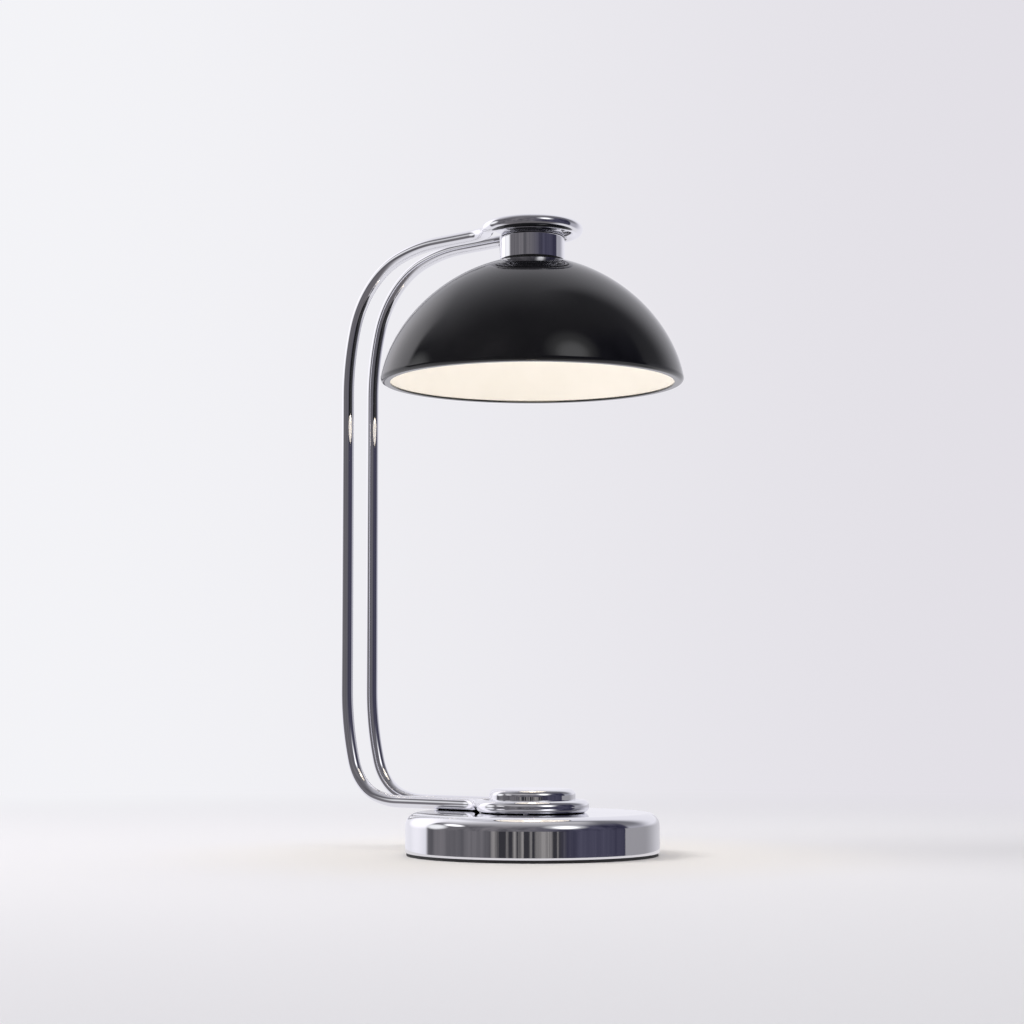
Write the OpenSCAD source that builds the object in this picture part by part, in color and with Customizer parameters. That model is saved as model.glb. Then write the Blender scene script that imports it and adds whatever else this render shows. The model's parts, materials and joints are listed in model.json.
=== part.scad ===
// Cordless table lamp: a closed loop of bent chrome tube carries a black dome shade
// over a round chrome base. The loop flares into one ring around the dimmer knob on the
// base and into another ring around the cup that holds the shade.
// Each ring is brazed to the front and the rear tube over a short inner sleeve.
// Millimetres, +Z up. The origin is the centre of the base on the table, and the stems stand at -X.

/* [Frame] */
// Outside diameter of the bent tube
tube_d = 8; // [6.5:0.5:9]
// Wall thickness of the tube
tube_wall = 1; // [0.6:0.1:1.2]
// Distance between the centre lines of the two stems
stem_pitch = 23; // [19:1:26]
// Distance from the lamp's axis to the stems
stem_reach = 156; // [150:1:200]
// Centre-line radius of the tight middle of the bend at the foot of a stem
low_bend_r = 33.5; // [24:0.5:45]
// Centre-line radius with which a stem eases into its low bend
low_ease_r = 170; // [80:1:220]
// Centre-line radius with which the low bend eases into the run along the base
low_run_r = 73; // [50:1:110]
// Centre-line radius of the tight middle of the bend at the top of a stem
high_bend_r = 62.5; // [45:0.5:70]
// Centre-line radius with which a stem eases into its high bend
high_ease_r = 161; // [80:1:220]
// Centre-line radius with which the high bend eases into the run to the head
high_run_r = 126; // [80:1:160]
// Centre-line radius of the reverse bend where a tube flares into a ring
neck_r = 30; // [22:1:36]
// Height of the head ring's centre plane above the table
head_plane_z = 392; // [360:1:460]
// Length of the sleeves inside the joints between rings and tubes
sleeve_l = 6; // [4:0.5:7]
// Diameter of the brazed studs that hold the frame to the base
stud_d = 4; // [3:0.5:4]
// Angle of the studs round the base ring, from the lamp's own X axis
stud_angle = 55; // [48:1:60]

/* [Base] */
// Diameter of the base
base_d = 158; // [154:1:190]
// Radius of the base's top edge
base_round = 8; // [4:0.5:10]
// Radius of the base's lower edge
base_edge_round = 1.5; // [0.5:0.1:1.6]
// Thickness of the base's side wall
base_wall = 1.8; // [1.6:0.1:3]
// Thickness of the base's top
base_top_t = 1.5; // [1:0.1:2.5]
// Height of the rubber foot pad
foot_h = 1.5; // [1:0.1:3]
// How far the foot pad is set in from the base's side
foot_inset = 0.8; // [0.4:0.1:2]
// Thickness of the steel bottom plate
floor_t = 2; // [1.5:0.1:3]
// Gap between the ballast and the base's side wall
ballast_gap = 4.8; // [2:0.1:7]
// Diameter of the four bottom screws
screw_d = 4; // [3:0.5:5]

/* [Power] */
// Diameter of a battery cell
cell_d = 18.3; // [14:0.1:18.6]
// Length of a battery cell
cell_l = 65; // [50:1:66]
// Wall of the battery trays
tray_t = 1.2; // [0.8:0.1:2]
// Free height over a cell
cell_headroom = 2; // [1:0.1:4]
// Width of the charging socket
port_w = 9; // [8:0.1:10]
// Height of the charging socket
port_h = 3.2; // [2.6:0.1:3.6]
// Depth of the charging socket
port_l = 7.4; // [6:0.1:9]
// Thickness of the circuit boards
pcb_t = 1.6; // [1:0.1:2]
// Diameter of the supply wire inside the rear tube
wire_d = 2.4; // [1.6:0.1:2.8]

/* [Knob] */
// Diameter of the dimmer knob
knob_d = 54; // [50:1:60]
// Height of the dimmer knob
knob_h = 13.5; // [11:0.1:18]
// Wall of the knob's shell
knob_wall = 1.5; // [1:0.1:2]
// Radius of the knob's top edge
knob_round = 1.6; // [0.8:0.1:3]
// Gap under the knob when it is not pressed
knob_lift = 1.2; // [1:0.1:2]
// Gap between the knob and the ring around it
knob_side_gap = 0.5; // [0.4:0.1:1.5]
// Travel of the knob when it is pressed
press_travel = 0.8; // [0.4:0.1:0.9]
// Diameter of the dimmer shaft
shaft_d = 6; // [5:0.5:6]
// Diameter of the threaded bush around the shaft
bush_d = 9; // [8:0.5:10]
// Side of the square dimmer body
encoder_w = 13; // [12:0.5:15]
// Height of the dimmer body
encoder_h = 7; // [6.5:0.1:8]

/* [Shade] */
// Diameter of the shade at its rim
shade_d = 190; // [170:1:220]
// Height of the shade from rim to crown
shade_h = 79; // [66:1:95]
// How far the dome's widest level lies below its rim
dome_skirt = 6.5; // [3:0.5:12]
// Exponent of the dome's curve across
dome_p = 1.9; // [1.7:0.05:2.2]
// Exponent of the dome's curve upwards
dome_q = 1.79; // [1.6:0.01:2.1]
// Wall of the shade
shade_wall = 1.2; // [0.8:0.1:1.8]
// Radius of the turned-in rim
lip_round = 2.6; // [2:0.1:4]
// Width of the turned-in rim
lip_w = 6; // [5:0.1:8]
// Wall of the white reflector
reflector_t = 0.8; // [0.6:0.1:1.2]
// Gap between shade and reflector at the crown
crown_gap = 5; // [4:0.5:8]

/* [Head] */
// Diameter of the cup that carries the shade
cup_d = 41; // [38:1:46]
// Height of the cup
cup_h = 20; // [18:0.5:30]
// Wall of the cup
cup_wall = 1.2; // [0.8:0.1:1.6]
// Radius of the cup's top edge
cup_round = 6; // [3:0.5:7]
// Gap between the cup and the head ring
cup_ring_gap = 3.5; // [2.5:0.1:5]
// Thickness of the plate that lies in the head ring
plate_t = 2.5; // [2:0.1:3]
// Height of the plate's underside over the head ring's centre plane
plate_lift = 0.4; // [0.4:0.1:0.8]
// Thickness of the gasket between cup and shade
gasket_t = 0.8; // [0.5:0.1:1.2]
// Diameter of the hollow threaded nipple
nipple_d = 10; // [8:0.5:10]
// Bore of the nipple
nipple_bore = 6.5; // [4:0.5:7]
// Diameter of the heat sink
sink_d = 60; // [50:1:70]
// Length of the heat sink's neck above its plate
sink_neck = 9; // [8:0.5:14]
// Thickness of the heat sink's plate
sink_t = 5; // [3:0.5:8]
// Number of cooling fins
fin_count = 20; // [8:1:28]
// Number of light-emitting chips
chip_count = 12; // [6:1:16]
// Depth of the diffuser below the heat sink
diffuser_h = 12; // [8:0.5:20]
// Wall of the diffuser
diffuser_t = 1.5; // [1:0.1:2.5]

/* [Hidden] */
$fn = 64;

// Clearances
fit_gap = 0.05;
seat_gap = 0.1;
free_gap = 0.3;

// Heights in the base, from the table up
floor_top = foot_h + floor_t;
shell_under = floor_top + tray_t + cell_d + cell_headroom;
base_h = shell_under + base_top_t;
base_r = base_d / 2;
shell_bore_r = base_r - base_wall;
base_ring_z = base_h + tube_d / 2;

// Frame
tube_bore = tube_d - 2 * tube_wall;
half_pitch = stem_pitch / 2;
base_ring_r = knob_d / 2 + knob_side_gap + tube_d / 2;
head_ring_r = cup_d / 2 + cup_ring_gap + tube_d / 2;
stud_angles = [stud_angle, 180 - stud_angle];
stud_hole_d = stud_d + 2 * fit_gap;
stud_top = base_h + tube_wall + 1;

// Ballast and what it carries
board_gap = 1.4;
encoder_floor = shell_under - encoder_h;
board_top = encoder_floor;
ballast_top = board_top - pcb_t - board_gap;
ballast_r = shell_bore_r - ballast_gap;
pillar_r = stud_d / 2 + 3;
screw_circle_r = ballast_r - screw_d - 4;
screw_angles = [45, 135, 225, 315];
screw_l = 8;
nut_pocket_d = 2.4 * stud_d;
nut_t = 0.8 * stud_d;
washer_t = 0.8;
nut_pocket_top = floor_top + nut_t + washer_t + 1.5;
cell_pair_y = base_ring_r + 7.5 + cell_d / 2;
tray_wall = 1.5;
tray_w = cell_d + 2 * (free_gap + tray_wall);
tray_l = cell_l + 2 * (free_gap + tray_wall);
tray_h = tray_t + cell_d * 0.45;
pocket_gap = 0.5;

// Charging socket, on the side under the stems
charge_board_w = 22;
charge_board_l = 18;
charge_board_end = shell_bore_r - 1.5;
charge_ledge_z = floor_top + 4;
port_z = charge_ledge_z + pcb_t + port_h / 2;

// Dimmer
bush_top = base_h + 4;
encoder_washer_t = 0.6;
encoder_nut_t = 2;
shaft_bore = shaft_d + 2 * fit_gap;
chamber_d = shaft_d + 1.2;
collar_d = shaft_d + 0.8;
chamber_floor = encoder_floor + 0.6;
chamber_top = encoder_floor + 4;
shaft_end = chamber_top - 1;
plunger_t = 1;
knob_r = knob_d / 2;
knob_z = base_h + knob_lift;
knob_top = knob_z + knob_h;
hub_z = bush_top + press_travel + 0.7;
hub_plate_z = knob_top - knob_wall - 3;
hub_r = knob_r - knob_wall - fit_gap;
hub_top = knob_top - knob_wall - seat_gap;
hub_boss_r = shaft_d / 2 + 3.5;
knob_inner_round = max(knob_round - knob_wall, 0.1);
shaft_top = knob_top - knob_wall - 1;
flat_depth = 0.9;

// Head, from the ring down
cup_r = cup_d / 2;
cup_top = head_plane_z + plate_lift;
cup_bottom = cup_top - cup_h;
plate_top = cup_top + plate_t;
cap_nut_h = 4;
cap_nut_r = nipple_d / 2 + 3;
nipple_top = plate_top + cap_nut_h - 1.5;
spacer_r = nipple_d / 2 + 2;
upper_spacer_h = 5;
terminal_top = cup_top - cup_wall - upper_spacer_h;
terminal_r = cup_r - cup_wall - 3;
wire_end_r = terminal_r - 3;

// Dome: a superellipse of revolution, with its widest level below the rim
dome_h = shade_h + dome_skirt;
dome_r = shade_d / 2 / pow(1 - pow((dome_skirt + lip_round) / dome_h, dome_q), 1 / dome_p);
function hundredth(x) = round(100 * x) / 100;
function dome_rise(r, h, rho) = h * pow(1 - pow(rho / r, dome_p), 1 / dome_q);
function dome_reach(r, h, rise) = r * pow(1 - pow(rise / h, dome_q), 1 / dome_p);
dome_level = hundredth(cup_bottom - gasket_t - dome_rise(dome_r, dome_h, cup_r));
crown_top = dome_level + dome_h;
lip_rise = dome_skirt + lip_round;
lip_reach = dome_reach(dome_r, dome_h, lip_rise);
// Steepness of the wall where it turns into the rim
lip_lean = atan((lip_reach - dome_reach(dome_r, dome_h, lip_rise + 1)) / 1);
lip_centre = [lip_reach - lip_round * cos(lip_lean), dome_level + lip_rise - lip_round * sin(lip_lean)];
rim_z = lip_centre.y - lip_round;
lip_inner_r = shade_d / 2 - lip_w;
inner_r = dome_r - shade_wall;
inner_h = dome_h - shade_wall;
reflector_h = inner_h - crown_gap;
reflector_edge_z = rim_z + shade_wall + seat_gap;
reflector_edge_r = lip_inner_r + 0.4 + reflector_t;
reflector_r = reflector_edge_r / pow(1 - pow((reflector_edge_z - dome_level) / reflector_h, dome_q), 1 / dome_p);
crown_hole_r = nipple_d / 2 + 0.2;
crown_spacer_r = 12;
dome_steps = 36;

// Light unit under the reflector's crown
sink_r = sink_d / 2;
sink_hub_r = nipple_d / 2 + 5;
sink_hub_top = dome_level - seat_gap
    + hundredth(dome_rise(reflector_r - reflector_t, reflector_h - reflector_t, sink_hub_r));
sink_top = sink_hub_top - sink_neck;
sink_bottom = sink_top - sink_t;
fin_h = 3;
fin_t = 1.2;
led_board_r = sink_r - 3;
led_board_bottom = sink_bottom - pcb_t;
chip_w = 3;
chip_t = 0.7;
chip_circle_r = led_board_r * 0.68;
nipple_bottom = sink_bottom;

// Points of a superellipse from one height above its widest level to the edge of a central hole
function dome_curve(r, h, rise, hole) = [
    let (first = asin(pow(rise / h, dome_q / 2)), last = acos(pow(hole / r, dome_p / 2)))
    for (i = [0:dome_steps])
        let (t = first + (last - first) * i / dome_steps)
            [r * pow(cos(t), 2 / dome_p), dome_level + h * pow(sin(t), 2 / dome_q)]
];
function arc(centre, r, from, to, steps = 8) = [
    for (i = [0:steps])
        let (a = from + (to - from) * i / steps) centre + r * [cos(a), sin(a)]
];
function reversed(list) = [for (i = [len(list) - 1:-1:0]) list[i]];

// Half of a turned profile with a rounded top edge and a rounded lower edge
module turned_profile(r, bottom, top, top_round, low_round) {
    translate([0, bottom]) square([r - low_round, top - bottom - top_round]);
    translate([0, bottom + low_round]) square([r, top - bottom - top_round - low_round]);
    translate([0, bottom + low_round]) square([r - top_round, top - bottom - low_round]);
    translate([r - top_round, top - top_round]) circle(r = top_round);
    if (low_round > 0) translate([r - low_round, bottom + low_round]) circle(r = low_round);
}

module turned(r, bottom, top, top_round, low_round = 0) {
    rotate_extrude() turned_profile(r, bottom, top, top_round, low_round);
}

module washer(r, hole_r, z, t) {
    translate([0, 0, z]) difference() {
        cylinder(r = r, h = t);
        translate([0, 0, -1]) cylinder(r = hole_r, h = t + 2);
    }
}

module hex_nut(flats, hole_r, z, t) {
    translate([0, 0, z]) difference() {
        cylinder(d = flats / cos(30), h = t, $fn = 6);
        translate([0, 0, -1]) cylinder(r = hole_r, h = t + 2, $fn = 48);
    }
}

// Bent round bar: level arc, arc in a stem's plane, and runs along X and Z
module level_arc(centre, bend_r, from, to, d) {
    translate(centre) rotate([0, 0, from]) rotate_extrude(angle = to - from) translate([bend_r, 0]) circle(d = d);
}

// The arc is turned a degree too far and cut back, so that its end lies exactly on the next arc's plane
module upright_arc(centre, bend_r, from, to, d) {
    translate(centre) rotate([90, 0, 0]) difference() {
        rotate([0, 0, from]) rotate_extrude(angle = to - from + 1) translate([bend_r, 0]) circle(d = d);
        rotate([0, 0, to]) translate([bend_r - d, 0, -d]) cube([2 * d, bend_r / 10, 2 * d]);
    }
}

module run_x(from, to_x, d) {
    translate(from) rotate([0, 90, 0]) cylinder(d = d, h = to_x - from.x);
}

// How far the reverse bend's centre lies behind the ring, and the angle at which the ring begins
function neck_x(ring_r) = round(1000 * sqrt(pow(ring_r + neck_r, 2) - pow(half_pitch + neck_r, 2))) / 1000;
function neck_angle(ring_r) = asin((half_pitch + neck_r) / (ring_r + neck_r));

// Reverse bend on the +Y side, which the ring shortens by a trim angle
module neck(ring_r, z, d, trim = 0) {
    level_arc([-neck_x(ring_r), half_pitch + neck_r, z], neck_r, -90, -neck_angle(ring_r) - trim, d);
}

// The part of a ring between two angles
module ring_arc(ring_r, z, from, to, d) {
    level_arc([0, 0, z], ring_r, from, to, d);
}

// An eased bend turns by a 7-24-25 triangle's small angle, then tightly, then by the small angle again.
// Its own origin is where the stem's line meets the run's line.
ease_angle = atan2(7, 24);
ease_sin = 0.28;
ease_cos = 0.96;
function bend_x(ease_r, r, run_r) = ease_r - ease_cos * (ease_r - r) + ease_sin * (run_r - r);
function bend_z(ease_r, r, run_r) = run_r - ease_cos * (run_r - r) + ease_sin * (ease_r - r);
module eased_bend(ease_r, r, run_r, d) {
    x = bend_x(ease_r, r, run_r);
    z = bend_z(ease_r, r, run_r);
    upright_arc([ease_r, 0, z], ease_r, 180, 180 + ease_angle, d);
    upright_arc([ease_r - ease_cos * (ease_r - r), 0, z - ease_sin * (ease_r - r)], r,
        180 + ease_angle, 270 - ease_angle, d);
    upright_arc([x, 0, run_r], run_r, 270 - ease_angle, 270, d);
}

// One tube on the +Y side, from its neck at the base ring to its neck at the head ring
module bent_bar(d, trim = 0) {
    low_x = bend_x(low_ease_r, low_bend_r, low_run_r) - stem_reach;
    low_z = base_ring_z + bend_z(low_ease_r, low_bend_r, low_run_r);
    high_x = bend_x(high_ease_r, high_bend_r, high_run_r) - stem_reach;
    high_z = head_plane_z - bend_z(high_ease_r, high_bend_r, high_run_r);
    neck(base_ring_r, base_ring_z, d, trim);
    run_x([low_x, half_pitch, base_ring_z], -neck_x(base_ring_r), d);
    translate([-stem_reach, half_pitch, base_ring_z]) eased_bend(low_ease_r, low_bend_r, low_run_r, d);
    translate([-stem_reach, half_pitch, low_z]) cylinder(d = d, h = high_z - low_z);
    translate([-stem_reach, half_pitch, head_plane_z]) mirror([0, 0, 1])
        eased_bend(high_ease_r, high_bend_r, high_run_r, d);
    run_x([high_x, half_pitch, head_plane_z], -neck_x(head_ring_r), d);
    neck(head_ring_r, head_plane_z, d, trim);
}

// Where the supply wire leaves the head ring for the terminal board
wire_angle = 90;
wire_slope = atan2(head_plane_z - terminal_top - wire_d / 2, head_ring_r - wire_end_r);
module wire_to_head(d) {
    translate([0, head_ring_r, head_plane_z]) rotate([90 + wire_slope, 0, 0])
        cylinder(d = d, h = (head_ring_r - wire_end_r) / cos(wire_slope));
}

module stud_places(angles) {
    for (a = angles) rotate([0, 0, a]) translate([base_ring_r, 0, 0]) children();
}

module tube() {
    difference() {
        bent_bar(tube_d);
        bent_bar(tube_bore);
    }
}

module front_tube() {
    color("gainsboro") mirror([0, 1, 0]) tube();
}

module rear_tube() {
    color("gainsboro") tube();
}

module hollow_ring(ring_r, z) {
    end = 180 - neck_angle(ring_r);
    difference() {
        ring_arc(ring_r, z, -end, end, tube_d);
        ring_arc(ring_r, z, -end, end, tube_bore);
    }
}

module base_ring() {
    color("gainsboro") difference() {
        hollow_ring(base_ring_r, base_ring_z);
        for (side = [1, -1]) stud_places(side * stud_angles)
            translate([0, 0, base_h - 1]) cylinder(d = stud_hole_d, h = tube_wall + 2.5);
        translate([0, base_ring_r, base_h - 1]) cylinder(d = wire_d + 2 * free_gap, h = tube_wall + 3);
    }
}

module head_ring() {
    color("gainsboro") difference() {
        hollow_ring(head_ring_r, head_plane_z);
        wire_to_head(wire_d + 2 * free_gap);
    }
}

module joint_sleeve(ring_r, z) {
    for (side = [1, -1]) rotate([0, 0, side * (180 - neck_angle(ring_r))]) translate([ring_r, -sleeve_l / 2, z])
        rotate([-90, 0, 0]) difference() {
            cylinder(d = tube_bore - 0.6, h = sleeve_l);
            translate([0, 0, -1]) cylinder(d = wire_d + 1, h = sleeve_l + 2);
        }
}

module joint_sleeves() {
    color("silver") {
        joint_sleeve(base_ring_r, base_ring_z);
        joint_sleeve(head_ring_r, head_plane_z);
    }
}

module frame_studs() {
    color("silver") for (side = [1, -1])
        stud_places(side * stud_angles) translate([0, 0, floor_top + 0.8])
            cylinder(d = stud_d, h = stud_top - floor_top - 0.8);
}

module base_shell() {
    color("gainsboro") difference() {
        turned(base_r, foot_h, base_h, base_round, base_edge_round);
        turned(shell_bore_r, foot_h - 1, shell_under, max(base_round - base_wall, 1));
        for (side = [1, -1]) stud_places(side * stud_angles)
            translate([0, 0, shell_under - 1]) cylinder(d = stud_hole_d, h = base_top_t + 2);
        translate([0, 0, shell_under - 1]) cylinder(d = bush_d + 2 * fit_gap, h = base_top_t + 2);
        translate([0, base_ring_r, shell_under - 1]) cylinder(d = grommet_hole_d, h = base_top_t + 2);
        translate([-base_r, 0, port_z]) port_slot(port_w + 2 * free_gap, port_h + 2 * free_gap, 2 * base_wall + 8);
    }
}

// Oblong with round ends, along X, centred on its own axis
module port_slot(w, h, l) {
    translate([-l / 2, 0, 0]) rotate([0, 90, 0]) {
        for (side = [1, -1]) translate([0, side * (w - h) / 2, 0]) cylinder(d = h, h = l);
        translate([-h / 2, -(w - h) / 2, 0]) cube([h, w - h, l]);
    }
}

module screw_places() {
    for (a = screw_angles) rotate([0, 0, a]) translate([screw_circle_r, 0, 0]) children();
}

module countersunk_screw(gap) {
    cylinder(d1 = 2 * screw_d + 2 * gap, d2 = screw_d + 2 * gap, h = floor_t);
    cylinder(d = screw_d + 2 * gap, h = screw_l);
}

module bottom_plate() {
    color("dimgray") difference() {
        translate([0, 0, foot_h]) cylinder(r = shell_bore_r - free_gap, h = floor_t);
        screw_places() translate([0, 0, foot_h]) countersunk_screw(fit_gap);
    }
}

module foot_pad() {
    color("black") cylinder(r = base_r - foot_inset, h = foot_h);
}

module bottom_screws() {
    color("silver") screw_places() translate([0, 0, foot_h]) difference() {
        countersunk_screw(0);
        translate([0, 0, -1]) cylinder(d = 0.6 * screw_d, h = 1 + floor_t * 0.7, $fn = 6);
    }
}

module tray_places() {
    for (side = [1, -1]) translate([0, side * cell_pair_y, 0]) children();
}

module ballast() {
    color("darkslategray") difference() {
        union() {
            translate([0, 0, floor_top]) cylinder(r = ballast_r, h = ballast_top - floor_top);
            for (side = [1, -1]) stud_places(side * stud_angles)
                translate([0, 0, ballast_top - 1]) cylinder(r = pillar_r, h = shell_under - ballast_top + 1);
        }
        tray_places() translate([-tray_l / 2 - pocket_gap, -tray_w / 2 - pocket_gap, floor_top - 1])
            cube([tray_l + 2 * pocket_gap, tray_w + 2 * pocket_gap, ballast_top - floor_top + 2]);
        for (side = [1, -1]) stud_places(side * stud_angles) {
            translate([0, 0, floor_top - 1]) cylinder(d = stud_hole_d, h = shell_under);
            translate([0, 0, floor_top - 1]) cylinder(d = nut_pocket_d, h = nut_pocket_top - floor_top + 1);
        }
        screw_places() translate([0, 0, floor_top - 1]) cylinder(d = screw_d + 2 * fit_gap, h = screw_l + 1);
        translate([-ballast_r - 1, -charge_board_w / 2 - 1, charge_ledge_z])
            cube([ballast_r + charge_board_l + 2 - charge_board_end, charge_board_w + 2, ballast_top]);
    }
}

module stud_washers() {
    color("silver") for (side = [1, -1]) stud_places(side * stud_angles)
        washer(nut_pocket_d / 2 - 0.3, stud_hole_d / 2, nut_pocket_top - washer_t, washer_t);
}

module stud_nuts() {
    color("silver") for (side = [1, -1]) stud_places(side * stud_angles)
        hex_nut(1.75 * stud_d, stud_hole_d / 2, nut_pocket_top - washer_t - nut_t, nut_t);
}

module battery_trays() {
    color("dimgray") tray_places() difference() {
        translate([-tray_l / 2, -tray_w / 2, floor_top]) cube([tray_l, tray_w, tray_h]);
        translate([-cell_l / 2 - free_gap, 0, floor_top + tray_t + cell_d / 2]) rotate([0, 90, 0])
            cylinder(d = cell_d + 2 * seat_gap, h = cell_l + 2 * free_gap);
    }
}

module battery_cells() {
    color("seagreen") tray_places() translate([-cell_l / 2, 0, floor_top + tray_t + cell_d / 2 + seat_gap / 2])
        rotate([0, 90, 0]) {
            cylinder(d = cell_d, h = cell_l - 1);
            cylinder(d = 0.4 * cell_d, h = cell_l);
        }
}

module control_board() {
    half_w = base_ring_r * cos(stud_angle) - pillar_r - 1;
    reach = base_ring_r + 4;
    color("darkgreen") translate([-half_w, -encoder_w / 2 - 6, board_top - pcb_t])
        cube([2 * half_w, reach + encoder_w / 2 + 6, pcb_t]);
}

module charge_board() {
    color("darkgreen") translate([-charge_board_end, -charge_board_w / 2, charge_ledge_z])
        cube([charge_board_l, charge_board_w, pcb_t]);
}

module charge_socket() {
    mouth = 0.4;
    color("silver") translate([-base_r + mouth + port_l / 2, 0, port_z]) difference() {
        port_slot(port_w, port_h, port_l);
        translate([-0.8, 0, 0]) port_slot(port_w - 0.7, port_h - 0.7, port_l);
    }
    color("black") translate([-base_r + mouth + 1, -port_w * 0.36, port_z - 0.35]) cube([port_l - 1.2, port_w * 0.72, 0.7]);
}

module encoder_body() {
    color("darkgray") difference() {
        union() {
            translate([-encoder_w / 2, -encoder_w / 2, encoder_floor]) cube([encoder_w, encoder_w, encoder_h]);
            translate([0, 0, shell_under - 1]) cylinder(d = bush_d, h = bush_top - shell_under + 1);
        }
        translate([0, 0, chamber_top - 1]) cylinder(d = shaft_bore, h = bush_top);
        translate([0, 0, chamber_floor]) cylinder(d = chamber_d, h = chamber_top - chamber_floor);
    }
}

module encoder_washer() {
    color("silver") washer(bush_d / 2 + 2.5, bush_d / 2 + fit_gap, base_h, encoder_washer_t);
}

module encoder_nut() {
    color("silver") hex_nut(bush_d + 3, bush_d / 2 + fit_gap, base_h + encoder_washer_t, encoder_nut_t);
}

// Snap dome under the plunger: it flattens when the knob is pressed
module switch_dome() {
    height = shaft_end - plunger_t - chamber_floor;
    width = chamber_d / 2 - 0.3;
    color("silver") rotate_extrude() polygon([[0, chamber_floor + height - 0.3], [0, chamber_floor + height],
        [width * 0.5, chamber_floor + height], [width, chamber_floor + 0.3], [width, chamber_floor],
        [width - 0.4, chamber_floor], [width * 0.45, chamber_floor + height - 0.3]]);
}

module switch_plunger() {
    color("white") translate([0, 0, shaft_end - plunger_t]) cylinder(d = shaft_d - 0.5, h = plunger_t);
}

module dimmer_shaft() {
    color("silver") difference() {
        union() {
            translate([0, 0, shaft_end]) cylinder(d = shaft_d, h = shaft_top - shaft_end);
            translate([0, 0, shaft_end]) cylinder(d = collar_d, h = chamber_top - seat_gap - shaft_end);
        }
        translate([shaft_d / 2 - flat_depth, -shaft_d, hub_z - 0.5]) cube([shaft_d, 2 * shaft_d, shaft_top]);
    }
}

module knob_hub() {
    color("dimgray") difference() {
        union() {
            turned(hub_r, hub_plate_z, hub_top, knob_inner_round);
            translate([0, 0, hub_z]) cylinder(r = hub_boss_r, h = hub_plate_z + 1 - hub_z);
        }
        difference() {
            translate([0, 0, hub_z - 1]) cylinder(d = shaft_bore, h = shaft_top + seat_gap - hub_z + 1);
            translate([shaft_d / 2 - flat_depth + fit_gap, -shaft_d, hub_z - 2]) cube([shaft_d, 2 * shaft_d, knob_h]);
        }
    }
}

module knob_shell() {
    color("gainsboro") difference() {
        turned(knob_r, knob_z, knob_top, knob_round);
        turned(knob_r - knob_wall, knob_z - 1, knob_top - knob_wall, knob_inner_round);
    }
}

// Shrink sleeves cover the wire's joints where it turns into the rings and passes from them into the tube
sleeve_bead_d = wire_d + 0.5;
module wire_joint(ring_r, z, angle) {
    rotate([0, 0, angle]) translate([ring_r, 0, z]) sphere(d = sleeve_bead_d);
}

module supply_wire() {
    trim = 0.8;
    base_end = 180 - neck_angle(base_ring_r);
    head_end = 180 - neck_angle(head_ring_r);
    color("whitesmoke") {
        translate([0, base_ring_r, board_top]) cylinder(d = wire_d, h = base_ring_z - board_top);
        wire_joint(base_ring_r, base_ring_z, wire_angle);
        ring_arc(base_ring_r, base_ring_z, wire_angle + trim, base_end - trim, wire_d);
        wire_joint(base_ring_r, base_ring_z, base_end);
        bent_bar(wire_d, trim);
        wire_joint(head_ring_r, head_plane_z, head_end);
        ring_arc(head_ring_r, head_plane_z, wire_angle + trim, head_end - trim, wire_d);
        wire_joint(head_ring_r, head_plane_z, wire_angle);
        wire_to_head(wire_d);
    }
}

grommet_hole_d = wire_d + 3.2;
module wire_grommet() {
    color("black") translate([0, base_ring_r, 0]) {
        washer(grommet_hole_d / 2 - fit_gap, wire_d / 2 + fit_gap, shell_under, base_top_t - seat_gap);
        washer(grommet_hole_d / 2 + 1.2, wire_d / 2 + fit_gap, shell_under - 1, 1);
    }
}

// Round plate that lies in the head ring and carries everything below it
module head_plate() {
    color("gainsboro") difference() {
        translate([0, 0, cup_top]) cylinder(r = head_ring_r, h = plate_t);
        rotate_extrude() translate([head_ring_r, head_plane_z]) circle(d = tube_d + 2 * fit_gap);
        translate([0, 0, cup_top - 1]) cylinder(d = nipple_d + 2 * fit_gap, h = plate_t + 2);
    }
}

module cap_nut() {
    color("gainsboro") difference() {
        turned(cap_nut_r, plate_top, plate_top + cap_nut_h, cap_nut_h * 0.5);
        translate([0, 0, plate_top - 1]) cylinder(d = nipple_d + 2 * fit_gap, h = nipple_top + fit_gap - plate_top + 1);
    }
}

module nipple() {
    color("goldenrod") washer(nipple_d / 2, nipple_bore / 2, nipple_bottom, nipple_top - nipple_bottom);
}

module head_cup() {
    color("gainsboro") difference() {
        turned(cup_r, cup_bottom, cup_top, cup_round, 0.5);
        turned(cup_r - cup_wall, cup_bottom - 1, cup_top - cup_wall, cup_round - cup_wall);
        translate([0, 0, cup_top - cup_wall - 1]) cylinder(d = nipple_d + 2 * fit_gap, h = cup_wall + 2);
        wire_to_head(wire_d + 2 * free_gap);
    }
}

module upper_spacer() {
    color("silver") washer(spacer_r, nipple_d / 2 + fit_gap, terminal_top, upper_spacer_h);
}

module terminal_board() {
    color("darkgreen") washer(terminal_r, nipple_d / 2 + fit_gap, terminal_top - pcb_t, pcb_t);
}

module lower_spacer() {
    color("silver") washer(spacer_r, nipple_d / 2 + fit_gap, crown_top, terminal_top - pcb_t - crown_top);
}

// Gasket that lies on the dome under the cup's edge
module cup_gasket() {
    outer = cup_r - 0.4;
    width = 1.8;
    color("black") rotate_extrude() polygon([[outer - width, cup_bottom], [outer, cup_bottom],
        [outer, dome_level + dome_rise(dome_r, dome_h, outer) + fit_gap],
        [outer - width, dome_level + dome_rise(dome_r, dome_h, outer - width) + fit_gap]]);
}

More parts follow.
